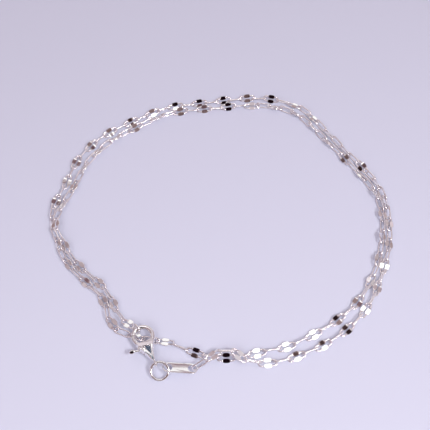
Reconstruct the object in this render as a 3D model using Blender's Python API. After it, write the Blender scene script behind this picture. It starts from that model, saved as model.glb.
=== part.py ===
"""Link chain necklace, fastened and laid double on a flat surface.

Metres, +Z up. The origin is the middle of the foot of the bounding box.
+X runs along the loop's longer side, and the clasp lies at -X, -Y.
The chain leaves the tag, goes round the loop once, runs under the clasp,
goes round a second time and ends at the end ring in the clasp's hook.
"""

import math

import bmesh
import bpy
from mathutils import Matrix, Vector

MM = 0.001

# Chain: plain links and links with two pressed pads take turns
LINK_WIRE = 0.32 * MM
LINK_LENGTH = 3.85 * MM
PLAIN_WIDTH = 1.45 * MM
PAD_SPACING = 1.13 * MM
PAD_LENGTH = 1.5 * MM
PAD_WIDTH = 0.92 * MM
PAD_THICKNESS = 0.22 * MM
LINK_CLEARANCE = 0.06 * MM
LINK_STEP = LINK_LENGTH - 2 * (LINK_WIRE + LINK_CLEARANCE) - 0.115 * MM

# Chain runs: one tube stands for a run of links
RUN_DIAMETER = 1.1 * MM
RUN_STEP = 2.5 * RUN_DIAMETER
RUN_GAP = 0.3 * MM

# Clasp, in its own flat frame: u from the tail to the head, v to the lever's side
CLASP_TAIL = Vector((-12.9, -33.25, 1.7)) * MM
CLASP_HEADING = math.radians(115.2)
LOOP_AT = 6.3 * MM
LOOP_BAND = 0.95 * MM
LOOP_RADIUS = 1.93 * MM
HOOK_TIP_ANGLE = math.radians(75)
BODY_STATIONS = (
    # u, right v, right half-height, left v, left half-height, all as shares of LOOP_AT
    (0.11, -0.051, 0.063, 0.051, 0.063),
    (0.25, -0.079, 0.079, 0.095, 0.087),
    (0.44, -0.135, 0.103, 0.206, 0.127),
    (0.59, -0.206, 0.119, 0.294, 0.143),
    (0.68, -0.265, 0.095, 0.316, 0.143),
    (0.79, -0.313, 0.076, 0.321, 0.125),
)
BODY_EDGE = 0.25 * MM
EYE_RADIUS = 0.63 * MM
EYE_WIRE = 0.4 * MM

# Lever in the clasp's slot
PIVOT_U = 3.5 * MM
PIVOT_V = 0.9 * MM
LEVER_THICKNESS = 0.7 * MM
LEVER_WIDTH = 0.8 * MM
LEVER_SIDE_GAP = 0.15 * MM
LEVER_REACH = 3.66 * MM
LEVER_TIP_ANGLE = math.radians(54)
LEVER_TIP_GAP = 0.1 * MM
LEVER_SWING_ROOM = 1.0 * MM
HUB_RADIUS = 0.72 * MM
KNOB_OUT = 2.3 * MM
KNOB_UP = 0.55 * MM
KNOB_RADII = Vector((0.45, 0.65, 0.45)) * MM
STEM_WIDTH = 0.5 * MM
PIN_RADIUS = 0.26 * MM
PIN_CLEARANCE = 0.1 * MM

# Rings
CLASP_RING_RADIUS = 1.715 * MM
CLASP_RING_WIRE = 0.62 * MM
CLASP_RING_TILT = math.radians(25)
CLASP_RING_MEETS_EYE = math.radians(121)
CLASP_RING_MEETS_TAG = math.radians(24)
END_RING_RADIUS = 0.98 * MM
END_RING_WIRE = 0.45 * MM
END_RING_ANGLE = math.radians(19)
END_RING_OUT = 0.18 * MM
END_RING_LEAN = math.radians(20)

# Tag plate
TAG_LENGTH = 6.9 * MM
TAG_WIDTH = 2.5 * MM
TAG_THICKNESS = 0.22 * MM
TAG_HOLE_RADIUS = 0.87 * MM
TAG_HOLE_INSET = 1.08 * MM
TAG_HANG = 0.02 * MM
TAG_ROLL = math.radians(-21)
TAG_PITCH = math.radians(-6)
TAG_HEADING = math.radians(-1)

# Loose links beside the clasp: centre, heading, pitch and roll
TAG_LINK_HEADING = math.radians(28)
TAG_LINK_PITCH = math.radians(19)
TAG_LINK_ROLL = math.radians(62)
TAG_LINK_DROP = 0.34 * MM
END_LINK_HEADING = math.radians(142)
END_LINK_PITCH = math.radians(-19)
END_LINK_ROLL = math.radians(8)
MIDDLE_START = Vector((-19.85, -26.25, 0.55)) * MM
MIDDLE_HEADINGS = tuple(math.radians(a) for a in (-23, -17, -9, -7))
MIDDLE_ROLLS = tuple(math.radians(a) for a in (30, -25, 30, -25))
MIDDLE_PADS = (False, True, False, True)

# Each run starts and stops just short of a loose link
RUN_ENDS = {
    "chain_run_a": ("tag_link", "middle_link_1"),
    "chain_run_b": ("middle_link_4", "end_link"),
}
RUN_CLEAR = LINK_LENGTH / 2 + RUN_GAP

# Routes of the two chain runs in millimetres: x, y, height of the tube's middle
CHAIN_ROUTES = {
    "chain_run_a": (
        (-1.3, -32.0, 1.95), (-0.4, -31.4, 1.85), (0.9, -31.0, 1.85),
        (2.4, -31.9, 2.05), (4.0, -32.7, 1.4), (5.5, -32.8, 0.65),
        (7.0, -32.7, 0.55), (9.89, -33.01, 0.55), (12.93, -32.34, 0.55),
        (15.86, -31.34, 0.55), (21.02, -29.02, 0.55), (26.28, -25.29, 0.55),
        (30.22, -20.99, 0.55), (33.2, -15.71, 0.55), (35.26, -10.62, 0.55),
        (36.68, -5.9, 0.55), (37.35, -1.59, 0.55), (37.48, 2.6, 0.55),
        (37.09, 6.86, 0.55), (35.6, 10.91, 0.55), (33.6, 14.28, 0.55),
        (27.89, 22.34, 0.55), (21.96, 30.98, 0.55), (19.1, 33.73, 0.55),
        (12.62, 36.04, 0.55), (6.77, 36.34, 0.55), (0.91, 35.53, 0.55),
        (-5.25, 34.6, 0.55), (-11.09, 33.65, 0.55), (-16.52, 31.5, 0.55),
        (-26.33, 25.41, 0.55), (-30.52, 21.26, 0.55), (-33.5, 16.53, 0.55),
        (-34.99, 11.01, 0.55), (-36.68, 6.09, 0.55), (-37.47, 3.09, 0.55),
        (-37.26, 0.98, 0.55), (-36.85, -1.32, 0.55), (-35.74, -4.22, 0.55),
        (-34.52, -7.22, 0.55), (-32.91, -10.12, 0.55), (-30.5, -12.82, 0.55),
        (-27.8, -15.52, 0.55), (-25.4, -17.52, 0.55), (-24.1, -19.32, 0.55),
        (-23.4, -21.1, 0.55), (-22.8, -23.4, 0.55), (-22.0, -25.1, 0.55),
    ),
    "chain_run_b": (
        (-9.15, -29.2, 0.55), (-8.2, -29.52, 0.55), (-4.9, -30.72, 0.55),
        (-2.1, -31.42, 0.55), (1.0, -31.82, 0.55), (4.0, -31.32, 0.55),
        (7.1, -30.62, 0.55), (12.9, -29.42, 0.55), (15.8, -28.12, 0.55),
        (18.69, -26.61, 0.55), (23.25, -23.75, 0.55), (27.78, -19.81, 0.55),
        (31.1, -15.0, 0.55), (33.12, -10.52, 0.55), (34.54, -5.86, 0.55),
        (35.38, -1.59, 0.55), (35.72, 2.58, 0.55), (35.36, 6.1, 0.55),
        (33.98, 9.68, 0.55), (31.79, 13.01, 0.55), (26.23, 21.04, 0.55),
        (20.56, 28.91, 0.55), (17.78, 31.4, 0.55), (14.62, 32.86, 0.55),
        (10.2, 33.59, 0.55), (7.0, 33.78, 0.55), (2.2, 33.18, 0.55),
        (-4.0, 32.48, 0.55), (-9.8, 31.68, 0.55), (-15.1, 29.78, 0.55),
        (-24.3, 23.88, 0.55), (-28.3, 19.98, 0.55), (-31.3, 15.28, 0.55),
        (-33.0, 10.18, 0.55), (-34.64, 5.79, 0.6), (-35.71, 2.61, 0.8),
        (-36.16, 0.19, 1.35), (-35.99, -2.19, 1.9), (-34.61, -4.55, 1.35),
        (-33.17, -6.92, 0.65), (-31.52, -9.41, 0.55), (-29.24, -11.86, 0.55),
        (-26.9, -13.82, 0.55), (-24.4, -16.22, 0.55), (-22.9, -18.42, 0.55),
        (-22.0, -20.22, 0.55), (-21.2, -21.82, 0.55), (-20.4, -22.95, 0.55),
    ),
}

# Brings the middle of the bounding box's foot to the origin
CENTRE_SHIFT = Vector((0.0, -0.28, 0.0)) * MM

SILVER = (0.80, 0.79, 0.80, 1.0)


def clear_scene():
    for thing in list(bpy.data.objects):
        bpy.data.objects.remove(thing, do_unlink=True)


def silver(name, roughness):
    """Polished silver of one roughness."""
    material = bpy.data.materials.new(name)
    material.use_nodes = True
    shader = material.node_tree.nodes["Principled BSDF"]
    shader.inputs["Base Color"].default_value = SILVER
    shader.inputs["Metallic"].default_value = 1.0
    shader.inputs["Roughness"].default_value = roughness
    return material


def empty(name, matrix, parent=None):
    """A frame that carries pieces; matrix is in its parent's frame."""
    frame = bpy.data.objects.new(name, None)
    bpy.context.scene.collection.objects.link(frame)
    frame.parent = parent
    frame.matrix_local = matrix
    return frame


def placed(name, mesh, parent, matrix=None, roughness=0.12):
    """Puts a mesh or curve in the scene under its parent frame."""
    piece = bpy.data.objects.new(name, mesh)
    bpy.context.scene.collection.objects.link(piece)
    piece.parent = parent
    piece.matrix_local = matrix or Matrix()
    mesh.materials.append(silver(name + "_silver", roughness))
    return piece


def helper(name, mesh, parent, matrix=None):
    """A cutter or a shape that is joined to a piece."""
    piece = placed(name, mesh, parent, matrix)
    piece.hide_render = True
    piece.display_type = "WIRE"
    return piece


def joined(piece, operation, other):
    modifier = piece.modifiers.new(other.name, "BOOLEAN")
    modifier.operation = operation
    modifier.object = other


def turned(position, heading=0.0, pitch=0.0, roll=0.0):
    """A frame whose x axis has this heading and climb, rolled about itself."""
    turn = Matrix.Rotation(heading, 4, "Z") @ Matrix.Rotation(-pitch, 4, "Y")
    return Matrix.Translation(position) @ turn @ Matrix.Rotation(roll, 4, "X")


def finished(build, name):
    """Mesh from a bmesh, facing out and shaded smooth."""
    bmesh.ops.recalc_face_normals(build, faces=build.faces)
    mesh = bpy.data.meshes.new(name)
    build.to_mesh(mesh)
    build.free()
    mesh.shade_smooth()
    mesh.set_sharp_from_angle(angle=math.radians(40))
    return mesh


def swept(name, path, sides, closed):
    """A bar swept along a flat path of (point, half width, half height)."""
    build = bmesh.new()
    rows = []
    count = len(path)
    for i, (point, half_width, half_height) in enumerate(path):
        before = path[i - 1][0] if closed or i else point
        after = path[(i + 1) % count][0] if closed or i + 1 < count else point
        along = (after - before).normalized()
        side = Vector((-along.y, along.x, 0))
        row = []
        for k in range(sides):
            turn = 2 * math.pi * (k + 0.5) / sides
            offset = side * (half_width * math.cos(turn))
            offset.z = half_height * math.sin(turn)
            row.append(build.verts.new(point + offset))
        rows.append(row)
    last = count if closed else count - 1
    for i in range(last):
        one, two = rows[i], rows[(i + 1) % count]
        for k in range(sides):
            n = (k + 1) % sides
            build.faces.new((one[k], one[n], two[n], two[k]))
    if not closed:
        build.faces.new(rows[0])
        build.faces.new(rows[-1])
    return finished(build, name)


def link_mesh(name, pads):
    """One link, flat in its x-y plane, with its length along x."""
    half_wire = LINK_WIRE / 2
    radius = PAD_SPACING / 2 if pads else (PLAIN_WIDTH - LINK_WIRE) / 2
    reach = LINK_LENGTH / 2 - half_wire - radius
    if pads:
        stations = (
            (-0.5, half_wire, half_wire),
            (-0.3, PAD_WIDTH * 0.42, PAD_THICKNESS / 2),
            (0.0, PAD_WIDTH / 2, PAD_THICKNESS / 2),
            (0.3, PAD_WIDTH * 0.42, PAD_THICKNESS / 2),
            (0.5, half_wire, half_wire),
        )
        straight = [(share * PAD_LENGTH, w, h) for share, w, h in stations]
    else:
        straight = []
    path = []
    for way in (1, -1):
        for step in range(5):
            turn = -math.pi / 2 + math.pi * step / 4
            at = Vector((reach + radius * math.cos(turn), radius * math.sin(turn), 0))
            path.append((at * way, half_wire, half_wire))
        for x, w, h in straight:
            path.append((Vector((-x, radius, 0)) * way, w, h))
    return swept(name, path, 6, True)


def ring_mesh(name, radius, wire, around=20, sides=8):
    """A round wire ring, flat in its x-y plane."""
    path = []
    for step in range(around):
        turn = 2 * math.pi * step / around
        at = Vector((math.cos(turn), math.sin(turn), 0)) * radius
        path.append((at, wire / 2, wire / 2))
    return swept(name, path, sides, True)


def cylinder_mesh(name, radius, depth, sides=20):
    build = bmesh.new()
    bmesh.ops.create_cone(build, cap_ends=True, segments=sides,
                          radius1=radius, radius2=radius, depth=depth)
    return finished(build, name)


def box_mesh(name, low, high):
    build = bmesh.new()
    size = [b - a for a, b in zip(low, high)]
    middle = [(a + b) / 2 for a, b in zip(low, high)]
    where = Matrix.Translation(middle) @ Matrix.Diagonal((*size, 1))
    bmesh.ops.create_cube(build, size=1, matrix=where)
    return finished(build, name)


def smooth_route(points, step, clear):
    """Points a step apart on a smooth curve, clear of its first and last points."""
    ends = [points[0] * 2 - points[1]] + points + [points[-1] * 2 - points[-2]]
    fine = []
    for i in range(1, len(ends) - 2):
        p0, p1, p2, p3 = ends[i - 1:i + 3]
        for k in range(12):
            t = k / 12
            fine.append(0.5 * (2 * p1 + (p2 - p0) * t
                               + (2 * p0 - 5 * p1 + 4 * p2 - p3) * t ** 2
                               + (3 * p1 - p0 - 3 * p2 + p3) * t ** 3))
    fine = [at for at in fine if min((at - points[0]).length, (at - points[-1]).length) > clear]
    lengths = [0.0]
    for one, two in zip(fine, fine[1:]):
        lengths.append(lengths[-1] + (two - one).length)
    count = max(2, round(lengths[-1] / step))
    route, at = [], 0
    for i in range(count + 1):
        goal = lengths[-1] * i / count
        while at < len(fine) - 2 and lengths[at + 1] < goal:
            at += 1
        share = (goal - lengths[at]) / (lengths[at + 1] - lengths[at])
        route.append(fine[at].lerp(fine[at + 1], share))
    return route


def chain_run(name, parent):
    """A run of links as one tube along its route, from one loose link to another."""
    first, last = (bpy.data.objects[link].location.copy() for link in RUN_ENDS[name])
    points = [first] + [Vector(point) * MM for point in CHAIN_ROUTES[name]] + [last]
    route = smooth_route(points, RUN_STEP, RUN_CLEAR)
    curve = bpy.data.curves.new(name, "CURVE")
    curve.dimensions = "3D"
    curve.bevel_depth = RUN_DIAMETER / 2
    curve.bevel_resolution = 2
    curve.use_fill_caps = True
    spline = curve.splines.new("POLY")
    spline.points.add(len(route) - 1)
    for at, point in zip(spline.points, route):
        at.co = (*point, 1)
    return placed(name, curve, parent)


def swing_mesh():
    """The room that the lever's tip sweeps, a slice of a disc about the pivot."""
    build = bmesh.new()
    reach = LEVER_REACH + LEVER_TIP_GAP
    outline = [(0, 0)]
    for step in range(13):
        turn = math.radians(-4 + 3 * step)
        outline.append((reach * math.cos(turn), reach * math.sin(turn)))
    ends = []
    for z in (-LOOP_BAND, LOOP_BAND):
        ends.append([build.verts.new((x, y, z)) for x, y in outline])
        build.faces.new(ends[-1])
    for k in range(len(outline)):
        n = (k + 1) % len(outline)
        build.faces.new((ends[0][k], ends[0][n], ends[1][n], ends[1][k]))
    return finished(build, "lever_swing")


def clasp_body(frame):
    """Hook, wedge and tail eye as one casting, slotted for the lever."""
    build = bmesh.new()
    rows = []
    for share, right, low, left, high in BODY_STATIONS:
        u, right, low, left, high = (n * LOOP_AT for n in (share, right, low, left, high))
        edge = min(BODY_EDGE, (left - right) / 4)
        outline = (
            (right, -low / 2), (right + edge, -low), (left - edge, -high), (left, -high / 2),
            (left, high / 2), (left - edge, high), (right + edge, low), (right, low / 2),
        )
        rows.append([build.verts.new((u, v, z)) for v, z in outline])
    for one, two in zip(rows, rows[1:]):
        for k in range(8):
            n = (k + 1) % 8
            build.faces.new((one[k], one[n], two[n], two[k]))
    build.faces.new(rows[0])
    build.faces.new(rows[-1])
    body = placed("clasp_body", finished(build, "clasp_body"), frame)

    opening = cylinder_mesh("claw_opening", LOOP_RADIUS - LOOP_BAND / 2, 6 * LOOP_BAND, 28)
    loop_place = Matrix.Translation((LOOP_AT, 0, 0))
    joined(body, "DIFFERENCE", helper("claw_opening", opening, frame, loop_place))

    slot_half = LEVER_THICKNESS / 2 + LEVER_SIDE_GAP
    slot = box_mesh("lever_slot",
                    (PIVOT_U - HUB_RADIUS - 2 * LEVER_SIDE_GAP, PIVOT_V - LEVER_SWING_ROOM, -slot_half),
                    (LOOP_AT, 2 * LOOP_RADIUS, slot_half))
    joined(body, "DIFFERENCE", helper("lever_slot", slot, frame))

    bore = cylinder_mesh("pin_bore", PIN_RADIUS + PIN_CLEARANCE, 6 * LOOP_BAND)
    pivot_place = Matrix.Translation((PIVOT_U, PIVOT_V, 0))
    joined(body, "DIFFERENCE", helper("pin_bore", bore, frame, pivot_place))

    path = []
    steps = 22
    for step in range(steps + 1):
        turn = HOOK_TIP_ANGLE - (HOOK_TIP_ANGLE + math.pi) * step / steps
        at = Vector((LOOP_AT + LOOP_RADIUS * math.cos(turn), LOOP_RADIUS * math.sin(turn), 0))
        thin = 0.8 if step == 0 else 1.0
        path.append((at, LOOP_BAND / 2 * thin, LOOP_BAND / 2 * thin))
    hook = helper("hook", swept("hook", path, 10, False), frame)
    swing = helper("lever_swing", swing_mesh(), frame, pivot_place)
    joined(hook, "DIFFERENCE", swing)
    joined(body, "UNION", hook)

    upright = Matrix.Rotation(math.pi / 2, 4, "X")
    eye = ring_mesh("tail_eye", EYE_RADIUS, EYE_WIRE, 16, 8)
    joined(body, "UNION", helper("tail_eye", eye, frame, upright))
    return body


def lever(hinge):
    """The spring lever, its mesh measured from the pivot."""
    half_width, half_height = LEVER_WIDTH / 2, LEVER_THICKNESS / 2
    centre = Vector((LOOP_AT - PIVOT_U, -PIVOT_V, 0))
    base = math.radians(135)
    path = [(Vector((0, 0, 0)), half_width, half_height)]
    steps = 9
    for step in range(steps + 1):
        turn = base + (LEVER_TIP_ANGLE - base) * step / steps
        at = centre + Vector((math.cos(turn), math.sin(turn), 0)) * LOOP_RADIUS
        path.append((at, half_width, half_height))
    arm = placed("clasp_lever", swept("clasp_lever", path, 8, False), hinge)
    reach = cylinder_mesh("lever_reach", LEVER_REACH, 4 * LEVER_THICKNESS, 48)
    joined(arm, "INTERSECT", helper("lever_reach", reach, hinge))

    hub = cylinder_mesh("lever_hub", HUB_RADIUS, LEVER_THICKNESS)
    joined(arm, "UNION", helper("lever_hub", hub, hinge))
    knob_at = Vector((KNOB_UP, KNOB_OUT, 0))
    stem_path = [(knob_at * share, STEM_WIDTH / 2, STEM_WIDTH / 2) for share in (0.1, 0.5, 1.0)]
    stem = swept("thumb_stem", stem_path, 8, False)
    joined(arm, "UNION", helper("thumb_stem", stem, hinge))
    build = bmesh.new()
    bmesh.ops.create_uvsphere(build, u_segments=12, v_segments=8, radius=1,
                              matrix=Matrix.Translation(knob_at) @ Matrix.Diagonal((*KNOB_RADII, 1)))
    joined(arm, "UNION", helper("thumb_knob", finished(build, "thumb_knob"), hinge))
    bore = cylinder_mesh("lever_bore", PIN_RADIUS + PIN_CLEARANCE, 3 * LEVER_THICKNESS)
    joined(arm, "DIFFERENCE", helper("lever_bore", bore, hinge))
    return arm


def clasp(parent):
    frame = empty("clasp_frame", turned(CLASP_TAIL, CLASP_HEADING), parent)
    clasp_body(frame)
    hinge = empty("lever_hinge", Matrix.Translation((PIVOT_U, PIVOT_V, 0)), frame)
    lever(hinge)
    share = BODY_STATIONS[3]
    pin_length = 2 * LOOP_AT * share[2]
    placed("lever_pin", cylinder_mesh("lever_pin", PIN_RADIUS, pin_length, 16), hinge)


def on_clasp(u, v):
    """A place on the clasp's middle plane, in the necklace's frame."""
    return turned(CLASP_TAIL, CLASP_HEADING) @ Vector((u, v, 0))


def end_ring_and_link(parent):
    """The ring held in the hook, and the chain's last link in it."""
    out = LOOP_RADIUS + END_RING_OUT
    angle = END_RING_ANGLE
    at = on_clasp(LOOP_AT + out * math.cos(angle), out * math.sin(angle))
    heading = CLASP_HEADING + angle
    roll = math.pi / 2 + END_RING_LEAN
    ring = ring_mesh("end_ring", END_RING_RADIUS, END_RING_WIRE, 16, 8)
    placed("end_ring", ring, parent, turned(at, heading, 0, roll))

    inside = END_RING_RADIUS - (END_RING_WIRE + LINK_WIRE) / 2 - 2 * LINK_CLEARANCE
    held = at + Vector((math.cos(heading), math.sin(heading), 0)) * inside
    place = turned(held, END_LINK_HEADING, END_LINK_PITCH, END_LINK_ROLL)
    middle = Matrix.Translation((LINK_LENGTH / 2 - LINK_WIRE / 2, 0, 0))
    placed("end_link", link_mesh("end_link", True), parent, place @ middle)


def ring_tag_and_link(parent):
    """The clasp's ring, the bare tag on it and the chain's first link."""
    tilt = Matrix.Rotation(CLASP_RING_TILT, 4, "X")

    def on_ring(turn):
        return tilt @ (Vector((math.cos(turn), math.sin(turn), 0)) * CLASP_RING_RADIUS)

    centre = CLASP_TAIL - on_ring(CLASP_RING_MEETS_EYE)
    ring = ring_mesh("clasp_ring", CLASP_RING_RADIUS, CLASP_RING_WIRE)
    placed("clasp_ring", ring, parent, Matrix.Translation(centre) @ tilt)

    hole = centre + on_ring(CLASP_RING_MEETS_TAG)
    hole_from_middle = TAG_LENGTH / 2 - TAG_HOLE_INSET
    place = turned(hole, TAG_HEADING, TAG_PITCH, TAG_ROLL)
    place = place @ Matrix.Translation((hole_from_middle + TAG_HANG, 0, 0))
    build = bmesh.new()
    round_radius = TAG_WIDTH / 2
    outline = []
    for way in (1, -1):
        for step in range(9):
            turn = -math.pi / 2 + math.pi * step / 8
            x = (TAG_LENGTH / 2 - round_radius + round_radius * math.cos(turn)) * way
            outline.append((x, round_radius * math.sin(turn) * way))
    lower = [build.verts.new((x, y, -TAG_THICKNESS / 2)) for x, y in outline]
    upper = [build.verts.new((x, y, TAG_THICKNESS / 2)) for x, y in outline]
    build.faces.new(lower)
    build.faces.new(upper)
    for k in range(len(outline)):
        n = (k + 1) % len(outline)
        build.faces.new((lower[k], lower[n], upper[n], upper[k]))
    tag = placed("tag", finished(build, "tag"), parent, place, 0.08)
    for name, way in (("tag_hole_ring", -1), ("tag_hole_chain", 1)):
        cutter = cylinder_mesh(name, TAG_HOLE_RADIUS, 4 * TAG_THICKNESS)
        where = place @ Matrix.Translation((way * hole_from_middle, 0, 0))
        joined(tag, "DIFFERENCE", helper(name, cutter, parent, where))

    far_hole = place @ Vector((hole_from_middle, 0, 0)) - Vector((0, 0, TAG_LINK_DROP))
    link_place = turned(far_hole, TAG_LINK_HEADING, TAG_LINK_PITCH, TAG_LINK_ROLL)
    middle = Matrix.Translation((LINK_LENGTH / 2 - LINK_WIRE / 2, 0, 0))
    placed("tag_link", link_mesh("tag_link", False), parent, link_place @ middle)


def middle_links(parent):
    """The four links that pass under the clasp between the two runs."""
    at = MIDDLE_START.copy()
    for i, (heading, roll, pads) in enumerate(zip(MIDDLE_HEADINGS, MIDDLE_ROLLS, MIDDLE_PADS)):
        if i:
            bend = (heading + MIDDLE_HEADINGS[i - 1]) / 2
            at += Vector((math.cos(bend), math.sin(bend), 0)) * LINK_STEP
        name = f"middle_link_{i + 1}"
        placed(name, link_mesh(name, pads), parent, turned(at, heading, 0, roll))


def necklace():
    clear_scene()
    whole = empty("necklace", Matrix.Translation(CENTRE_SHIFT))
    clasp(whole)
    end_ring_and_link(whole)
    ring_tag_and_link(whole)
    middle_links(whole)
    for name in CHAIN_ROUTES:
        chain_run(name, whole)


necklace()
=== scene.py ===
import math
import random

import bmesh
import bpy
from mathutils import Matrix, Vector


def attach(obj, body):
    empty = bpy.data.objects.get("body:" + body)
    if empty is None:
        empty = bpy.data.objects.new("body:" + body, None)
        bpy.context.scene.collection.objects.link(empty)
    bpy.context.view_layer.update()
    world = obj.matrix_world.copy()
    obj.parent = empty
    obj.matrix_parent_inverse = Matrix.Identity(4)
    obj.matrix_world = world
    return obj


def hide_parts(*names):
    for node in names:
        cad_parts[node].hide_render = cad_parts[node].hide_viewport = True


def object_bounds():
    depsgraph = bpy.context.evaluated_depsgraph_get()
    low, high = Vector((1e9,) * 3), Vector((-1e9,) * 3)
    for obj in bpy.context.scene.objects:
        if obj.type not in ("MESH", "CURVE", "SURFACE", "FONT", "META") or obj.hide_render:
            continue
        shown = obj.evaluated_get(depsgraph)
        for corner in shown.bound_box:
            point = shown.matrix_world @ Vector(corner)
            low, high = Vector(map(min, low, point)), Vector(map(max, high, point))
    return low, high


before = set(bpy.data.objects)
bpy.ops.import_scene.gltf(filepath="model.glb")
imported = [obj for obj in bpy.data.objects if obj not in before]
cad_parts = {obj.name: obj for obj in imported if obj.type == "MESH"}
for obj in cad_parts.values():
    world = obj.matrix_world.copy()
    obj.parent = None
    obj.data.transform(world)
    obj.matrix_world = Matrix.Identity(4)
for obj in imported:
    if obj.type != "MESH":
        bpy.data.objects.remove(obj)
cad_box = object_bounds()

# Lengths are in millimetres and angles in degrees. Floor, lamps, cards and camera are placed in metres
MM = 0.001
BODY = "necklace"

# Links of the chain: round wire, and two pressed pads on every second link
WIRE = 0.32
LENGTH = 3.85
RUN_LENGTH = 3.95
PLAIN_WIDTH = 1.45
PLAIN_STATION = 0.6
PAD_SPACING = 1.13
PAD_LENGTH = 1.36
PAD_WIDTH = 0.96
PAD_THICKNESS = 0.24
WIRE_SIDES = 12
END_STEPS = 8

# A pad's half: shares of its length, of its widening and of its flattening
PAD_SHARES = ((0.0, 1.0, 1.0), (0.26, 0.95, 1.0), (0.43, 0.74, 1.0), (0.50, 0.42, 0.5), (0.58, 0.0, 0.0))

# How freely the links lie, and how far the listed ones climb to face the viewer
LISTED_SWAY = 0.5
SWAY = 3
TWIST = 6
CLIMB = 4
PAD_ROLLS = (20, 46)
PLAIN_ROLLS = (74, 88)
LINK_CLIMB_LIMIT = 5
PAD_CLIMB_LIMIT = 14

# Link numbers and where they lie along each turn, in millimetres
SPACING_A = (
    (0, 0.0), (1, 3.2), (3, 9.1), (5, 15.3), (9, 27.1), (13, 39.3), (17, 50.8),
    (27, 78.0), (37, 108.0), (47, 137.6), (59, 172.2), (72, None),
)
SPACING_B = (
    (0, 0.0), (2, 6.5), (4, 12.7), (6, 18.9), (8, 24.9), (10, 31.2), (12, 37.1),
    (14, 43.2), (28, 83.6), (38, 112.0), (44, 129.6), (48, 141.5), (58, 169.2), (70, None),
)

# How far the left and right pads of a link lean towards the viewer's side: 1 faces it squarely
LEANS_A = {
    1: (-1.1, -1.1), 2: (-2.7, -2.7), 3: (-0.35, -0.35), 5: (0.5, 0.5), 7: (0.84, 0.5),
    9: (0.92, 0.5), 11: (0.84, 0.94), 13: (0.8, 0.46), 17: (0.5, 0.5), 27: (1.0, 0.7),
    37: (1.0, 1.0), 39: (0.82, 0.84), 41: (1.0, 1.0), 43: (0.74, 0.98), 45: (0.6, 0.95),
    47: (0.6, 0.86), 49: (0.72, 0.9), 51: (0.68, 0.86), 53: (0.7, 0.84), 55: (0.84, 0.86),
    57: (0.9, 0.94), 59: (0.74, 0.86),
}
LEANS_B = {
    2: (1.0, 0.78), 4: (1.0, 1.0), 6: (0.5, 0.5), 8: (0.5, 0.5), 10: (0.45, 0.45),
    12: (1.0, 0.64), 14: (1.05, 0.7), 28: (0.9, 0.9), 36: (-0.6, -0.6), 38: (0.3, 0.3),
    40: (1.0, 1.0), 42: (0.78, 0.78), 44: (0.82, 0.82), 48: (0.8, 0.82),
}

# Clasp, as in the solids, in its own flat frame: u from tail to hook, v to the lever's side
TAIL = Vector((-12.9, -33.53, 1.7))
HEADING = 115.2
LOOP_AT = 6.3
BAND = 0.95
LOOP_RADIUS = 1.93
HOOK_TIP = 75
HOOK_ROOT = -180
BODY_STATIONS = (
    # u, right v, right half-height, left v, left half-height, all as shares of LOOP_AT
    (0.11, -0.051, 0.063, 0.051, 0.063),
    (0.25, -0.079, 0.079, 0.095, 0.087),
    (0.44, -0.135, 0.103, 0.206, 0.127),
    (0.59, -0.206, 0.119, 0.294, 0.143),
    (0.68, -0.265, 0.095, 0.316, 0.143),
    (0.79, -0.313, 0.076, 0.321, 0.125),
)
BODY_EDGE = 0.25
EYE_RADIUS = 0.63
EYE_WIRE = 0.4
FACET_CORNERS = ((4.05, 1.05), (3.72, -0.68), (1.65, -0.05))
FACET_HEIGHT = 0.70
FACET_FROM = 3.7
FACET_SLOPES = (0.19, 0.045)
FACET_MIDDLE = Vector((3.1, 0.1, 0.7))
FACET_FACES = Vector((-0.20, -0.045, 1.0))

# Lever and its pin
PIVOT = (3.5, 0.9)
LEVER_REACH = 3.66
LEVER_WIDTH = 0.8
LEVER_THICKNESS = 0.7
LEVER_ROOT = 135
LEVER_TIP = 54
HUB_RADIUS = 0.72
KNOB_UP = 0.55
KNOB_OUT = 2.3
KNOB_RADII = (0.45, 0.65, 0.45)
THUMB_FACES = Vector((-0.388, 0.087, 0.918))
THUMB_AT = 0.33
STEM_WIDTH = 0.5
PIN_BORE = 0.36
PIN_PROFILE = ((0.20, 0.80), (0.31, 0.775), (0.345, 0.73), (0.345, 0.66), (0.26, 0.66))
SLOT_BACK = 1.02
SLOT_BELOW = 1.0
SLOT_TOP = 3.86
SLOT_HALF = 0.42
SWING_ROOM = 0.1
SWING_FROM = -4
SWING_TO = 32

# Rounding of the cast pieces, and the edges that stay sharp
VOXEL = 0.04
SHARP_FROM = 40
DISC_SIDES = 64

# Rings, as radius, wire and steps round, and tag
CLASP_RING = (1.715, 0.62, 72)
END_RING = (0.98, 0.45, 48)
RING_SIDES = 20
TAG_LENGTH = 6.9
TAG_WIDTH = 2.5
TAG_THICKNESS = 0.22
TAG_HOLE_RADIUS = 0.87
TAG_HOLE_INSET = 1.08
TAG_RIM = 0.05

# Loose pieces: centre in millimetres, then heading, pitch and roll in degrees
LOOSE = {
    "clasp_ring": ((-12.017, -34.862, 1.079), 0, 0, 25),
    "end_ring": ((-17.053, -26.317, 1.7), 134.2, 0, 110),
    "tag": ((-8.073, -34.272, 1.124), -1, -6, -21),
    "tag_link": ((-4.243, -33.529, 1.111), 28, 19, 62),
    "end_link": ((-18.7, -24.949, 1.125), 142, -19, 8),
    "middle_link_1": ((-19.85, -26.53, 0.55), -23, 0, 30),
    "middle_link_2": ((-17.054, -27.548, 0.55), -17, 0, -25),
    "middle_link_3": ((-14.156, -28.217, 0.55), -9, 0, 30),
    "middle_link_4": ((-11.21, -28.631, 0.55), -7, 0, -25),
}
PADDED = ("end_link", "middle_link_2", "middle_link_4")

# Where the viewer's eye is, and the height of a link's middle when it lies on the floor
VIEWPOINT = (-1.3, -87.25, 137.23)
VIEWED_FROM = Vector(VIEWPOINT)
CAMERA_AT = Vector([value * MM for value in VIEWPOINT])
CAMERA_TILT = 33
FOCAL_LENGTH = 61.70
LYING = 0.55

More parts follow.
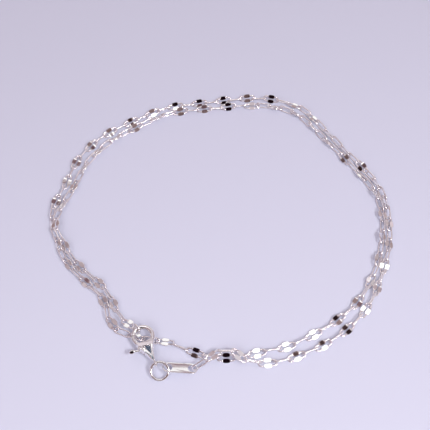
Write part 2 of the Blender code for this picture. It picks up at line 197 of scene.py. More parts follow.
# Each turn of chain, from the link before its first to the link after its last
ROUTE_A = (
    (-4.243, -33.529, 1.111), (-2.6, -32.6, 1.7), (-1.2, -31.7, 1.9), (-0.3, -31.0, 1.85),
    (0.9, -30.5, 1.85), (2.4, -31.2, 1.95), (4.0, -32.5, 1.35), (5.5, -33.0, 0.65),
    (7.0, -33.0, 0.55), (9.8, -33.0, 0.55), (12.8, -32.3, 0.55), (15.7, -31.3, 0.55),
    (20.8, -29.0, 0.55), (26.0, -25.3, 0.55), (29.89, -21.04, 0.55), (32.81, -15.81, 0.55),
    (34.81, -10.77, 0.55), (36.21, -6.11, 0.55), (36.87, -1.85, 0.55), (37.0, 2.29, 0.55),
    (36.61, 6.49, 0.55), (35.15, 10.49, 0.55), (33.18, 13.82, 0.55), (27.57, 21.8, 0.55),
    (21.73, 30.38, 0.55), (18.91, 33.12, 0.55), (12.5, 35.4, 0.55), (6.7, 35.7, 0.55),
    (0.9, 34.9, 0.55), (-5.2, 34.0, 0.55), (-11.0, 33.1, 0.55), (-16.4, 31.0, 0.55),
    (-26.2, 25.0, 0.55), (-30.4, 20.9, 0.55), (-33.4, 16.2, 0.55), (-34.9, 10.7, 0.55),
    (-36.6, 5.8, 0.55), (-37.4, 2.8, 0.55), (-37.2, 0.7, 0.55), (-36.8, -1.6, 0.55),
    (-35.7, -4.5, 0.55), (-34.5, -7.5, 0.55), (-32.9, -10.4, 0.55), (-30.5, -13.1, 0.55),
    (-27.8, -15.8, 0.55), (-25.4, -17.8, 0.55), (-24.1, -19.6, 0.55), (-23.4, -21.4, 0.55),
    (-22.8, -23.7, 0.55), (-21.8, -25.3, 0.55), (-19.85, -26.53, 0.55),
)
ROUTE_B = (
    (-11.21, -28.631, 0.55), (-9.15, -29.3, 0.55), (-8.2, -29.8, 0.55), (-4.9, -31.0, 0.55),
    (-2.1, -31.7, 0.55), (1.0, -32.1, 0.55), (4.0, -31.6, 0.55), (7.1, -30.9, 0.55),
    (12.9, -29.7, 0.55), (15.8, -28.4, 0.55), (18.69, -26.89, 0.55), (23.25, -24.03, 0.55),
    (27.78, -20.09, 0.55), (31.1, -15.28, 0.55), (33.12, -10.8, 0.55), (34.54, -6.14, 0.55),
    (35.38, -1.87, 0.55), (35.72, 2.3, 0.55), (35.36, 5.82, 0.55), (33.98, 9.4, 0.55),
    (31.79, 12.73, 0.55), (26.23, 20.76, 0.55), (20.56, 28.63, 0.55), (17.78, 31.12, 0.55),
    (14.62, 32.58, 0.55), (10.2, 33.31, 0.55), (7.0, 33.5, 0.55), (2.2, 32.9, 0.55),
    (-4.0, 32.2, 0.55), (-9.8, 31.4, 0.55), (-15.1, 29.5, 0.55), (-24.3, 23.6, 0.55),
    (-28.3, 19.7, 0.55), (-31.3, 15.0, 0.55), (-33.0, 9.9, 0.55), (-34.64, 5.51, 0.6),
    (-35.71, 2.33, 0.8), (-36.16, -0.09, 1.35), (-35.99, -2.47, 1.9), (-34.61, -4.83, 1.35),
    (-33.17, -7.2, 0.65), (-31.52, -9.69, 0.55), (-29.24, -12.14, 0.55), (-26.9, -14.1, 0.55),
    (-24.4, -16.5, 0.55), (-22.9, -18.7, 0.55), (-22.0, -20.5, 0.55), (-21.2, -22.1, 0.55),
    (-20.3, -23.45, 0.6), (-18.7, -24.949, 1.125),
)


def new_material(name):
    material = bpy.data.materials.new(name)
    material.use_nodes = True
    return material, material.node_tree.nodes["Principled BSDF"]


def ramp(nodes, stops):
    """A colour ramp node with these stops of (position, colour)."""
    made = nodes.new("ShaderNodeValToRGB")
    elements = made.color_ramp.elements
    while len(elements) < len(stops):
        elements.new(0.5)
    for element, (position, colour) in zip(elements, stops):
        element.position = position
        element.color = (*colour, 1)
    return made


def noise(nodes, scale, detail):
    made = nodes.new("ShaderNodeTexNoise")
    made.inputs["Scale"].default_value = scale
    made.inputs["Detail"].default_value = detail
    return made


def multiplied(nodes, links, one, two):
    """The product of two colour outputs."""
    made = nodes.new("ShaderNodeMix")
    made.data_type = "RGBA"
    made.blend_type = "MULTIPLY"
    made.inputs["Factor"].default_value = 1.0
    links.new(one, made.inputs["A"])
    links.new(two, made.inputs["B"])
    return made.outputs["Result"]


def silver(name, tint, roughness, scratch, scale):
    """Polished silver with fine scratches, uneven polish and a breath of tarnish."""
    material, shader = new_material(name)
    nodes, links = material.node_tree.nodes, material.node_tree.links
    shader.inputs["Metallic"].default_value = 1.0
    shader.inputs["Specular IOR Level"].default_value = 0.5
    place = nodes.new("ShaderNodeTexCoord")

    tarnish = noise(nodes, scale * 0.35, 4.0)
    dull = (tint[0] * 0.9, tint[1] * 0.885, tint[2] * 0.88)
    colours = ramp(nodes, ((0.32, dull), (0.66, tint)))
    links.new(place.outputs["Object"], tarnish.inputs["Vector"])
    links.new(tarnish.outputs["Fac"], colours.inputs["Fac"])
    links.new(colours.outputs["Color"], shader.inputs["Base Color"])

    polish = noise(nodes, scale, 6.0)
    spread = nodes.new("ShaderNodeMapRange")
    spread.inputs["From Min"].default_value = 0.3
    spread.inputs["From Max"].default_value = 0.7
    spread.inputs["To Min"].default_value = roughness * 0.7
    spread.inputs["To Max"].default_value = roughness * 1.5
    links.new(place.outputs["Object"], polish.inputs["Vector"])
    links.new(polish.outputs["Fac"], spread.inputs["Value"])
    links.new(spread.outputs["Result"], shader.inputs["Roughness"])

    stretch = nodes.new("ShaderNodeMapping")
    stretch.inputs["Rotation"].default_value = (0.3, 0.2, 0.7)
    stretch.inputs["Scale"].default_value = (1.0, 9.0, 2.0)
    lines = noise(nodes, scale * 1.6, 3.0)
    bump = nodes.new("ShaderNodeBump")
    bump.inputs["Strength"].default_value = scratch
    bump.inputs["Distance"].default_value = 0.02 * MM
    links.new(place.outputs["Object"], stretch.inputs["Vector"])
    links.new(stretch.outputs["Vector"], lines.inputs["Vector"])
    links.new(lines.outputs["Fac"], bump.inputs["Height"])
    links.new(bump.outputs["Normal"], shader.inputs["Normal"])
    return material


CHAIN_SILVER = silver("chain_silver", (0.97, 0.955, 0.955), 0.05, 0.07, 900.0)
WIRE_SILVER = silver("wire_silver", (0.975, 0.935, 0.945), 0.05, 1.0, 2400.0)
CAST_SILVER = silver("cast_silver", (0.96, 0.945, 0.95), 0.10, 0.16, 700.0)
RING_SILVER = silver("ring_silver", (0.985, 0.975, 0.985), 0.16, 0.12, 800.0)
TAG_SILVER = silver("tag_silver", (0.97, 0.96, 0.965), 0.12, 0.20, 600.0)


def turned(position, heading=0.0, pitch=0.0, roll=0.0):
    """A frame whose x axis has this heading and climb, in degrees, rolled about itself."""
    turn = Matrix.Rotation(math.radians(heading), 4, "Z")
    turn = turn @ Matrix.Rotation(math.radians(-pitch), 4, "Y")
    return Matrix.Translation(position) @ turn @ Matrix.Rotation(math.radians(roll), 4, "X")


CLASP = turned(TAIL, HEADING)
AT_PIVOT = Matrix.Translation((*PIVOT, 0))


def section(sides, pressed):
    """Points round a section: a round wire at 0, a flat pad with chamfered sides at 1.

    The pad has WIRE_SIDES points, so only a bar with that many sides is pressed.
    """
    flat = ((1, 0.3), (0.88, 1), (0.3, 1), (-0.3, 1), (-0.88, 1), (-1, 0.3))
    flat += tuple((-x, -y) for x, y in flat)
    points = []
    for k in range(sides):
        turn = 2 * math.pi * (k + 0.5) / sides
        x, y = math.cos(turn), math.sin(turn)
        if pressed:
            x += (flat[k][0] - x) * pressed
            y += (flat[k][1] - y) * pressed
        points.append((x, y))
    return points


def sweep(build, path, sides, closed, place, twist=0.0, climb=0.0, wire_slot=False):
    """Adds a bar along a flat path of (point, half width, half height, pressed).

    Its pressed parts are turned by the twist and climb, in degrees. With wire_slot,
    its round parts take the mesh's second material.
    """
    rows = []
    count = len(path)
    for i, (point, half_width, half_height, pressed) in enumerate(path):
        before = path[i - 1][0] if closed or i else point
        after = path[(i + 1) % count][0] if closed or i + 1 < count else point
        along = (after - before).normalized()
        side = Vector((-along.y, along.x, 0))
        tilt = math.radians(twist) * pressed
        c, s = math.cos(tilt), math.sin(tilt)
        rise = point.x * math.tan(math.radians(climb)) * pressed
        row = []
        for across, up in section(sides, pressed):
            a, u = half_width * across, half_height * up
            offset = side * (a * c - u * s)
            offset.z = a * s + u * c + rise
            row.append(build.verts.new(place @ (point + offset)))
        rows.append(row)
    for i in range(count if closed else count - 1):
        one, two = rows[i], rows[(i + 1) % count]
        round_wire = path[i][3] + path[(i + 1) % count][3] < 1.2
        for k in range(sides):
            n = (k + 1) % sides
            face = build.faces.new((one[k], one[n], two[n], two[k]))
            face.material_index = 1 if wire_slot and round_wire else 0
    if not closed:
        build.faces.new(rows[0])
        build.faces.new(rows[-1])
    return [v for row in rows for v in row]


def skin(build, rows, closed=False):
    """Faces from each row of points to the next, with end faces unless they close up."""
    following = rows[1:] + rows[:1] if closed else rows[1:]
    for one, two in zip(rows, following):
        for k in range(len(one)):
            n = (k + 1) % len(one)
            build.faces.new((one[k], one[n], two[n], two[k]))
    if not closed:
        build.faces.new(rows[0])
        build.faces.new(rows[-1])


def link_path(length, width, straight):
    """A long loop: two half rounds with the straight stations between them."""
    path = []
    half = WIRE / 2
    radius = width / 2
    reach = length / 2 - WIRE / 2 - radius
    for way in (1, -1):
        for step in range(END_STEPS + 1):
            turn = -math.pi / 2 + math.pi * step / END_STEPS
            at = Vector((reach + radius * math.cos(turn), radius * math.sin(turn), 0))
            path.append((at * way, half, half, 0.0))
        for x, half_width, half_height, pressed in straight:
            path.append((Vector((-x, radius, 0)) * way, half_width, half_height, pressed))
    return path


def plain_path(length):
    half = WIRE / 2
    straight = [(x, half, half, 0.0) for x in (-PLAIN_STATION, 0.0, PLAIN_STATION)]
    return link_path(length, PLAIN_WIDTH - WIRE, straight)


def padded_path(length):
    half = WIRE / 2
    shares = [(-share, wide, pressed) for share, wide, pressed in reversed(PAD_SHARES[1:])]
    shares += PAD_SHARES
    straight = []
    for share, wide, pressed in shares:
        width = half + (PAD_WIDTH / 2 - half) * wide
        height = half + (PAD_THICKNESS / 2 - half) * pressed
        straight.append((share * PAD_LENGTH, width, height, pressed))
    return link_path(length, PAD_SPACING, straight)


PLAIN, PADS = plain_path(LENGTH), padded_path(LENGTH)
RUN_PLAIN, RUN_PADS = plain_path(RUN_LENGTH), padded_path(RUN_LENGTH)


def finish_mesh(build, name, material):
    """Makes the object, in metres, and shades it smooth except at its sharp edges."""
    bmesh.ops.recalc_face_normals(build, faces=build.faces)
    mesh = bpy.data.meshes.new(name)
    build.to_mesh(mesh)
    build.free()
    mesh.transform(Matrix.Scale(MM, 4))
    mesh.shade_smooth()
    mesh.set_sharp_from_angle(angle=math.radians(SHARP_FROM))
    mesh.materials.append(material)
    piece = bpy.data.objects.new(name, mesh)
    bpy.context.scene.collection.objects.link(piece)
    return piece


def smooth_line(points):
    """Close points on a smooth curve through the route, with the length to each."""
    points = [Vector(p) for p in points]
    ends = [points[0] * 2 - points[1]] + points + [points[-1] * 2 - points[-2]]
    fine = []
    for i in range(1, len(ends) - 2):
        p0, p1, p2, p3 = ends[i - 1:i + 3]
        for k in range(16):
            t = k / 16
            fine.append(0.5 * (2 * p1 + (p2 - p0) * t
                               + (2 * p0 - 5 * p1 + 4 * p2 - p3) * t ** 2
                               + (3 * p1 - p0 - 3 * p2 + p3) * t ** 3))
    fine.append(points[-1])
    lengths = [0.0]
    for one, two in zip(fine, fine[1:]):
        lengths.append(lengths[-1] + (two - one).length)
    return fine, lengths


def along(line, goal):
    """The point of a smooth line that lies this far along it."""
    fine, lengths = line
    low, high = 0, len(lengths) - 1
    while high - low > 1:
        middle = (low + high) // 2
        if lengths[middle] <= goal:
            low = middle
        else:
            high = middle
    share = (goal - lengths[low]) / (lengths[high] - lengths[low])
    return fine[low].lerp(fine[high], share)


def knot(spacing, total, number):
    """Where a link number lies along its turn."""
    for (low, start), (high, end) in zip(spacing, spacing[1:]):
        if number <= high:
            end = total if end is None else end
            return start + (end - start) * (number - low) / (high - low)


def facing_roll(middle, heading, pitch):
    """The roll that turns a link's flat side to the viewer's side of the table."""
    towards = (VIEWED_FROM - middle).normalized()
    across = turned(Vector(), heading, pitch).to_3x3().inverted() @ towards
    return math.degrees(math.atan2(-across.y, across.z))


def square_climb(middle, heading, pitch):
    """The climb that a pad lacks to lie square to the viewer, in degrees."""
    towards = (VIEWED_FROM - middle).normalized()
    axis = turned(Vector(), heading, pitch).to_3x3() @ Vector((1, 0, 0))
    return -math.degrees(math.asin(axis.dot(towards)))


def limited(value, limit):
    return max(-limit, min(limit, value))


def chain_turn(name, route, spacing, padded_odd, leans, seed):
    """One turn of real links, laid one after another along the route.

    A listed link leans as its table says. The others lie as chance has it, a plain
    one rolled by nearly a right angle from its neighbours.
    """
    chance = random.Random(seed)
    line = smooth_line(route)
    total = line[1][-1]
    last = spacing[-1][0]
    places = []
    for number in range(1, last):
        start = along(line, knot(spacing, total, number - 0.5))
        end = along(line, knot(spacing, total, number + 0.5))
        way = end - start
        sway = LISTED_SWAY if number in leans else SWAY
        heading = math.degrees(math.atan2(way.y, way.x)) + chance.uniform(-sway, sway)
        pitch = math.degrees(math.asin(way.z / way.length)) + chance.uniform(-sway, sway) / 3
        middle = (start + end) / 2
        facing = facing_roll(middle, heading, pitch)
        twist = chance.uniform(-TWIST, TWIST)
        climb = chance.uniform(-CLIMB, CLIMB)
        if number in leans:
            left, right = leans[number]
            climb = 0.0
            if max(left, right) > 0:
                climb = square_climb(middle, heading, pitch) * (left + right) / 2
                lift = limited(climb, LINK_CLIMB_LIMIT)
                pitch += lift
                climb = limited(climb - lift, PAD_CLIMB_LIMIT)
                facing = facing_roll(middle, heading, pitch + climb)
            roll = facing * (left + right) / 2
            twist = facing * (right - left) / 2
        else:
            roll = chance.uniform(*PAD_ROLLS)
        places.append([middle, heading, pitch, roll, twist, climb])
    build = bmesh.new()
    for n, (middle, heading, pitch, roll, twist, climb) in enumerate(places):
        padded = ((n + 1) % 2 == 1) == padded_odd
        if not padded and n + 1 not in leans:
            beside = [places[k][3] for k in (n - 1, n + 1) if 0 <= k < len(places)]
            side = 1 if sum(beside) < 0 else -1
            roll = sum(beside) / len(beside) + side * chance.uniform(*PLAIN_ROLLS)
        lift = middle.z - LYING
        middle = Vector((middle.x, middle.y, 0))
        path = RUN_PADS if padded else RUN_PLAIN
        place = turned(middle, heading, pitch, roll)
        link = sweep(build, path, WIRE_SIDES, True, place, twist, climb, True)
        lowest = min(v.co.z for v in link)
        bmesh.ops.translate(build, verts=link, vec=(0, 0, lift - lowest))
    chain = finish_mesh(build, name, CHAIN_SILVER)
    chain.data.materials.append(WIRE_SILVER)
    return chain


def loose_place(node):
    centre, heading, pitch, roll = LOOSE[node]
    return turned(Vector(centre), heading, pitch, roll)


def loose_link(node):
    build = bmesh.new()
    path = PADS if node in PADDED else PLAIN
    sweep(build, path, WIRE_SIDES, True, loose_place(node), wire_slot=True)
    link = finish_mesh(build, node + "_polished", CHAIN_SILVER)
    link.data.materials.append(WIRE_SILVER)
    return link


def ring_path(radius, wire, steps):
    """A round wire's path about the origin."""
    path = []
    for step in range(steps):
        turn = 2 * math.pi * step / steps
        at = Vector((math.cos(turn), math.sin(turn), 0)) * radius
        path.append((at, wire / 2, wire / 2, 0.0))
    return path


def ring(node, size):
    build = bmesh.new()
    sweep(build, ring_path(*size), RING_SIDES, True, loose_place(node))
    return finish_mesh(build, node + "_polished", RING_SILVER)


def modifier(piece, kind, **values):
    made = piece.modifiers.new(kind.lower(), kind)
    for name, value in values.items():
        setattr(made, name, value)


def applied(piece):
    """Turns the piece's modifiers into its mesh."""
    bpy.context.view_layer.update()
    graph = bpy.context.evaluated_depsgraph_get()
    mesh = bpy.data.meshes.new_from_object(piece.evaluated_get(graph))
    piece.modifiers.clear()
    piece.data = mesh


def cast(name, bodies, cutters, rounds):
    """Joins and cuts the clasp's shapes, then rounds their edges as a casting's."""
    holders = []
    shapes = [(build, "UNION") for build in bodies] + [(build, "DIFFERENCE") for build in cutters]
    for n, (build, kind) in enumerate(shapes):
        bmesh.ops.recalc_face_normals(build, faces=build.faces)
        mesh = bpy.data.meshes.new(name)
        build.to_mesh(mesh)
        build.free()
        holder = bpy.data.objects.new(name if n == 0 else f"{name}_shape_{n}", mesh)
        bpy.context.scene.collection.objects.link(holder)
        holders.append((holder, kind))
    piece = holders[0][0]
    for holder, kind in holders[1:]:
        modifier(piece, "BOOLEAN", object=holder, operation=kind)
    modifier(piece, "REMESH", mode="VOXEL", voxel_size=VOXEL, use_smooth_shade=True)
    modifier(piece, "SMOOTH", factor=0.5, iterations=rounds)
    applied(piece)
    for holder, kind in holders[1:]:
        bpy.data.objects.remove(holder)
    piece.data.transform(CLASP)
    piece.data.transform(Matrix.Scale(MM, 4))
    piece.data.shade_smooth()
    piece.data.materials.clear()
    piece.data.materials.append(CAST_SILVER)
    return piece


def cylinder(build, radius, depth, place, sides):
    bmesh.ops.create_cone(build, cap_ends=True, segments=sides, radius1=radius,
                          radius2=radius, depth=depth, matrix=place)


def disc(radius, depth, place):
    build = bmesh.new()
    cylinder(build, radius, depth, place, DISC_SIDES)
    return build


def bar(path, sides, closed=False, place=Matrix()):
    build = bmesh.new()
    sweep(build, path, sides, closed, place)
    return build


def block(low, high):
    build = bmesh.new()
    size = [b - a for a, b in zip(low, high)]
    middle = [(a + b) / 2 for a, b in zip(low, high)]
    place = Matrix.Translation(middle) @ Matrix.Diagonal((*size, 1))
    bmesh.ops.create_cube(build, size=1, matrix=place)
    return build


def hook_arc(start, end, steps, width, height):
    """A path along the hook's round, between two angles in degrees."""
    path = []
    for step in range(steps + 1):
        turn = math.radians(start + (end - start) * step / steps)
        at = Vector((LOOP_AT + LOOP_RADIUS * math.cos(turn), LOOP_RADIUS * math.sin(turn), 0))
        path.append((at, width / 2, height / 2, 0.0))
    return path


def wedge():
    """The body between the tail eye and the hook, lofted through its stations."""
    build = bmesh.new()
    rows = []
    for numbers in BODY_STATIONS:
        u, right, low, left, high = (n * LOOP_AT for n in numbers)
        edge = min(BODY_EDGE, (left - right) / 4)
        outline = (
            (right, -low / 2), (right + edge, -low), (left - edge, -high), (left, -high / 2),
            (left, high / 2), (left - edge, high), (right + edge, low), (right, low / 2),
        )
        rows.append([build.verts.new((u, v, z)) for v, z in outline])
    skin(build, rows)
    return build


def facet(way):
    """Room above a shallow three-cornered facet in the wedge's upper or lower side."""
    build = bmesh.new()
    low, high = [], []
    for u, v in FACET_CORNERS:
        floor = FACET_HEIGHT + FACET_SLOPES[0] * (u - FACET_FROM) + FACET_SLOPES[1] * v
        low.append(build.verts.new((u, v, floor * way)))
        high.append(build.verts.new((u, v, 2.0 * way)))
    skin(build, [low, high])
    return build


def swing_room(reach):
    """The room that the lever's tip sweeps, which is cut out of the hook."""
    build = bmesh.new()
    outline = [(0, 0)]
    steps = 24
    for step in range(steps + 1):
        turn = math.radians(SWING_FROM + (SWING_TO - SWING_FROM) * step / steps)
        outline.append((reach * math.cos(turn), reach * math.sin(turn)))
    rows = []
    for z in (-BAND, BAND):
        rows.append([build.verts.new((PIVOT[0] + x, PIVOT[1] + y, z)) for x, y in outline])
    skin(build, rows)
    return build


def outside_reach():
    """What lies past the lever's reach, as a thick ring about the pivot."""
    build = bmesh.new()
    rows = []
    sides, depth, far = 96, 2, 9
    for step in range(sides):
        turn = 2 * math.pi * step / sides
        c, s = math.cos(turn), math.sin(turn)
        row = []
        for radius, z in ((LEVER_REACH, -depth), (far, -depth), (far, depth), (LEVER_REACH, depth)):
            row.append(build.verts.new((PIVOT[0] + radius * c, PIVOT[1] + radius * s, z)))
        rows.append(row)
    skin(build, rows, True)
    return build


def clasp_body():
    """The wedge, the hook and the tail eye, as three pieces."""
    hook = bar(hook_arc(HOOK_TIP, HOOK_ROOT, 60, BAND, BAND), 24)
    upright = Matrix.Rotation(math.pi / 2, 4, "X")
    eye = bar(ring_path(EYE_RADIUS, EYE_WIRE, 40), 16, True, upright)
    opening = disc(LOOP_RADIUS - BAND / 2, 6, Matrix.Translation((LOOP_AT, 0, 0)))
    slot = block((PIVOT[0] - SLOT_BACK, PIVOT[1] - SLOT_BELOW, -SLOT_HALF), (LOOP_AT, SLOT_TOP, SLOT_HALF))
    bore = disc(PIN_BORE, 6, AT_PIVOT)
    body = cast("clasp_body_polished", [wedge()], [opening, slot, bore, facet(1), facet(-1)], 4)
    claw = cast("clasp_hook_polished", [hook], [swing_room(LEVER_REACH + SWING_ROOM)], 3)
    tail = cast("clasp_eye_polished", [eye], [], 2)
    return body, claw, tail


def clasp_lever():
    """The lever's arm, hub and stem, and its knob with a flat for the thumb."""
    pivot = Vector((*PIVOT, 0))
    arm_path = [(pivot, LEVER_WIDTH / 2, LEVER_THICKNESS / 2, 0.0)]
    arm_path += hook_arc(LEVER_ROOT, LEVER_TIP, 24, LEVER_WIDTH, LEVER_THICKNESS)
    arm = bar(arm_path, 20)
    hub = disc(HUB_RADIUS, LEVER_THICKNESS, AT_PIVOT)
    knob_at = Vector((PIVOT[0] + KNOB_UP, PIVOT[1] + KNOB_OUT, 0))
    half = STEM_WIDTH / 2
    stem = bar([(pivot.lerp(knob_at, t), half, half, 0.0) for t in (0.1, 0.4, 0.7, 1.0)], 20)
    knob = bmesh.new()
    where = Matrix.Translation(knob_at) @ Matrix.Diagonal((*KNOB_RADII, 1))
    bmesh.ops.create_uvsphere(knob, u_segments=32, v_segments=20, radius=1, matrix=where)
    thumb = bmesh.new()
    turn = THUMB_FACES.to_track_quat("Z", "Y").to_matrix().to_4x4()
    where = Matrix.Translation(knob_at + THUMB_FACES * (1 + THUMB_AT)) @ turn
    bmesh.ops.create_cube(thumb, size=2, matrix=where)
    bore = disc(PIN_BORE, 4, AT_PIVOT)
    return cast("clasp_lever_polished", [arm, hub, stem, knob], [bore, outside_reach(), thumb], 3)


def lever_pin():
    """The pin with its two riveted heads, turned from one profile."""
    profile = PIN_PROFILE + tuple((radius, -z) for radius, z in reversed(PIN_PROFILE))
    sides = 40
    build = bmesh.new()
    place = CLASP @ AT_PIVOT
    turns = [2 * math.pi * k / sides for k in range(sides)]
    rows = []
    for radius, z in profile:
        points = [Vector((radius * math.cos(t), radius * math.sin(t), z)) for t in turns]
        rows.append([build.verts.new(place @ point) for point in points])
    skin(build, rows)
    return finish_mesh(build, "lever_pin_polished", CAST_SILVER)


def tag_plate():
    """The bare plate: two drilled holes, rounded ends and a rounded rim."""
    build = bmesh.new()
    radius = TAG_WIDTH / 2
    steps = 24
    outline = []
    for way in (1, -1):
        for step in range(steps + 1):
            turn = -math.pi / 2 + math.pi * step / steps
            x = (TAG_LENGTH / 2 - radius + radius * math.cos(turn)) * way
            outline.append((x, radius * math.sin(turn) * way))
    rows = []
    for z in (-TAG_THICKNESS / 2, TAG_THICKNESS / 2):
        rows.append([build.verts.new((x, y, z)) for x, y in outline])
    skin(build, rows)
    bmesh.ops.transform(build, matrix=loose_place("tag"), verts=build.verts)
    plate = finish_mesh(build, "tag_polished", TAG_SILVER)
    holes = bmesh.new()
    for way in (-1, 1):
        where = loose_place("tag") @ Matrix.Translation((way * (TAG_LENGTH / 2 - TAG_HOLE_INSET), 0, 0))
        cylinder(holes, TAG_HOLE_RADIUS, 2.0, where, 48)
    cutter = finish_mesh(holes, "tag_holes", CAST_SILVER)
    modifier(plate, "BOOLEAN", object=cutter, operation="DIFFERENCE")
    modifier(plate, "BEVEL", width=TAG_RIM * MM, segments=3, limit_method="ANGLE",
             angle_limit=math.radians(50), harden_normals=False)
    applied(plate)
    bpy.data.objects.remove(cutter)
    plate.data.shade_smooth()
    plate.data.set_sharp_from_angle(angle=math.radians(35))
    return plate


def dress():
    turn_a = chain_turn("chain_links_a", ROUTE_A, SPACING_A, True, LEANS_A, 11)
    turn_b = chain_turn("chain_links_b", ROUTE_B, SPACING_B, False, LEANS_B, 12)
    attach(turn_a, BODY)
    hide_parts("chain_run_a")
    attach(turn_b, BODY)
    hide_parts("chain_run_b")
    made = {
        "clasp_ring": ring("clasp_ring", CLASP_RING),
        "end_ring": ring("end_ring", END_RING),
        "tag": tag_plate(),
    }
    for node in LOOSE:
        piece = made.get(node) or loose_link(node)
        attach(piece, BODY)
        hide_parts(node)
    body, claw, tail = clasp_body()
    for piece in (body, claw, tail):
        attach(piece, BODY)
    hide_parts("clasp_body")
    lever = clasp_lever()
    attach(lever, "lever")
    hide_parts("clasp_lever")
    pin = lever_pin()
    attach(pin, BODY)
    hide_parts("lever_pin")


def plane(name, half_x, half_y):
    """A flat four-cornered sheet about the origin."""
    mesh = bpy.data.meshes.new(name)
    corners = [(-half_x, -half_y, 0), (half_x, -half_y, 0), (half_x, half_y, 0), (-half_x, half_y, 0)]
    mesh.from_pydata(corners, [], [(0, 1, 2, 3)])
    piece = bpy.data.objects.new(name, mesh)
    bpy.context.scene.collection.objects.link(piece)
    return piece


def card(name, size, position, strength, stops=()):
    """A glowing or dark card that only the metal reflects, with stops from its middle out."""
    piece = plane(name, size[0] / 2, size[1] / 2)
    piece.location = position
    piece.rotation_euler = (-Vector(position)).to_track_quat("Z", "Y").to_euler()
    material = bpy.data.materials.new(name)
    material.use_nodes = True
    nodes, links = material.node_tree.nodes, material.node_tree.links
    nodes.clear()
    glow = nodes.new("ShaderNodeEmission")
    glow.inputs["Strength"].default_value = strength
    if stops:
        inside = nodes.new("ShaderNodeTexCoord")
        distance = nodes.new("ShaderNodeVectorMath")
        distance.operation = "LENGTH"
        share = nodes.new("ShaderNodeMath")
        share.operation = "DIVIDE"
        share.inputs[1].default_value = size[0] / 2
        shades = ramp(nodes, stops)
        links.new(inside.outputs["Object"], distance.inputs[0])
        links.new(distance.outputs["Value"], share.inputs[0])
        links.new(share.outputs["Value"], shades.inputs["Fac"])
        links.new(shades.outputs["Color"], glow.inputs["Color"])
    out = nodes.new("ShaderNodeOutputMaterial")
    links.new(glow.outputs["Emission"], out.inputs["Surface"])
    piece.data.materials.append(material)
    piece.visible_camera = False
    piece.visible_diffuse = False
    piece.visible_shadow = False


def facet_mirrors(away):
    """The point that the wedge's upper facet mirrors to the viewer, this far from it."""
    top = CLASP @ FACET_MIDDLE
    upwards = (CLASP.to_3x3() @ FACET_FACES).normalized()
    towards = (VIEWED_FROM - top).normalized()
    return top + (upwards * (2 * upwards.dot(towards)) - towards) * away


def cards():
    """What the metal mirrors: a dark card round the viewer, softboxes and dim sides."""
    card("dark_card", (0.13, 0.13), CAMERA_AT * 1.35, 1.0, (
        (0.0, (0.008, 0.003, 0.006)), (0.45, (0.012, 0.005, 0.008)), (0.68, (0.05, 0.028, 0.030)),
        (0.9, (0.26, 0.18, 0.18)), (1.0, (0.36, 0.27, 0.27)),
    ))
    card("top_softbox", (0.26, 0.20), (0.0, 0.02, 0.42), 1.9)
    card("left_card", (0.24, 0.5), (-0.45, 0.0, 0.26), 1.0, (
        (0.0, (0.16, 0.10, 0.11)), (1.0, (0.50, 0.41, 0.44)),
    ))
    card("front_softbox", (0.6, 0.14), (0.10, -0.50, 0.10), 1.2)
    card("back_softbox", (0.9, 0.22), (0.0, 0.55, 0.17), 1.05)
    card("right_strip", (0.12, 0.5), (0.45, -0.05, 0.28), 1.5)
    card("blue_card", (0.011, 0.011), facet_mirrors(20) * MM, 1.0, (
        (0.0, (0.04, 0.06, 0.11)), (1.0, (0.10, 0.13, 0.20)),
    ))


def lay_floor():
    floor = plane("floor", 1.2, 1.2)
    floor.location.z = cad_box[0].z - 0.02 * MM
    material, shader = new_material("pale_floor")
    shader.inputs["Base Color"].default_value = (0.622, 0.646, 0.780, 1)
    shader.inputs["Roughness"].default_value = 0.55
    floor.data.materials.append(material)


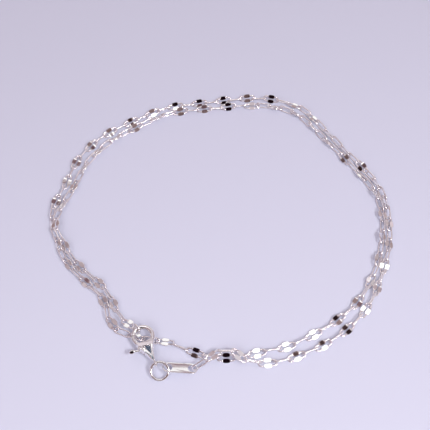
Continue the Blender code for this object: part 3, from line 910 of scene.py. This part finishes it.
def surroundings():
    """Soft light all round: brighter from above, in patches, and dim round the viewer."""
    scene = bpy.context.scene
    world = scene.world or bpy.data.worlds.new("world")
    scene.world = world
    world.use_nodes = True
    nodes, links = world.node_tree.nodes, world.node_tree.links
    background = nodes["Background"]
    background.inputs["Strength"].default_value = 0.62
    place = nodes.new("ShaderNodeTexCoord")
    apart = nodes.new("ShaderNodeSeparateXYZ")
    links.new(place.outputs["Generated"], apart.inputs["Vector"])
    heights = ramp(nodes, (
        (0.00, (0.64, 0.50, 0.51)), (0.28, (0.74, 0.61, 0.64)), (0.50, (0.92, 0.80, 0.86)),
        (0.74, (1.02, 0.94, 1.00)), (0.86, (0.86, 0.82, 0.88)), (0.95, (1.12, 1.05, 1.12)),
    ))
    links.new(apart.outputs["Z"], heights.inputs["Fac"])
    patches = noise(nodes, 4.5, 1.0)
    links.new(place.outputs["Generated"], patches.inputs["Vector"])
    tones = ramp(nodes, (
        (0.36, (0.40, 0.28, 0.30)), (0.44, (0.90, 0.82, 0.83)), (0.55, (1.0, 1.0, 1.0)),
        (0.64, (1.40, 1.38, 1.38)),
    ))
    links.new(patches.outputs["Fac"], tones.inputs["Fac"])
    closeness = nodes.new("ShaderNodeVectorMath")
    closeness.operation = "DOT_PRODUCT"
    closeness.inputs[1].default_value = VIEWED_FROM.normalized()
    links.new(place.outputs["Generated"], closeness.inputs[0])
    shade = ramp(nodes, (
        (0.62, (1.0, 1.0, 1.0)), (0.80, (0.62, 0.50, 0.52)), (0.90, (0.34, 0.23, 0.25)),
        (0.97, (0.16, 0.10, 0.11)),
    ))
    links.new(closeness.outputs["Value"], shade.inputs["Fac"])
    blend = multiplied(nodes, links, heights.outputs["Color"], tones.outputs["Color"])
    shaded = multiplied(nodes, links, blend, shade.outputs["Color"])
    links.new(shaded, background.inputs["Color"])


def lamp(name, place, energy, size, reflected):
    light = bpy.data.lights.new(name, "AREA")
    light.energy = energy
    light.size = size
    light.color = (1.0, 0.985, 1.0)
    made = bpy.data.objects.new(name, light)
    bpy.context.scene.collection.objects.link(made)
    made.visible_glossy = reflected
    made.location = place
    made.rotation_euler = Vector(place).to_track_quat("Z", "Y").to_euler()


def camera():
    lens = bpy.data.cameras.new("camera")
    lens.lens = FOCAL_LENGTH
    lens.sensor_width = 36.0
    lens.clip_start = 0.005
    lens.clip_end = 10.0
    eye = bpy.data.objects.new("camera", lens)
    bpy.context.scene.collection.objects.link(eye)
    eye.location = CAMERA_AT
    eye.rotation_euler = (math.radians(CAMERA_TILT), 0, 0)
    bpy.context.scene.camera = eye


bpy.context.scene.view_settings.view_transform = "Standard"
bpy.context.scene.view_settings.look = "None"
dress()
lay_floor()
surroundings()
lamp("key", (0.20, -0.20, 0.34), 0.92, 0.10, True)
lamp("fill", (-0.08, -0.24, 0.30), 0.72, 0.30, False)
camera()
cards()
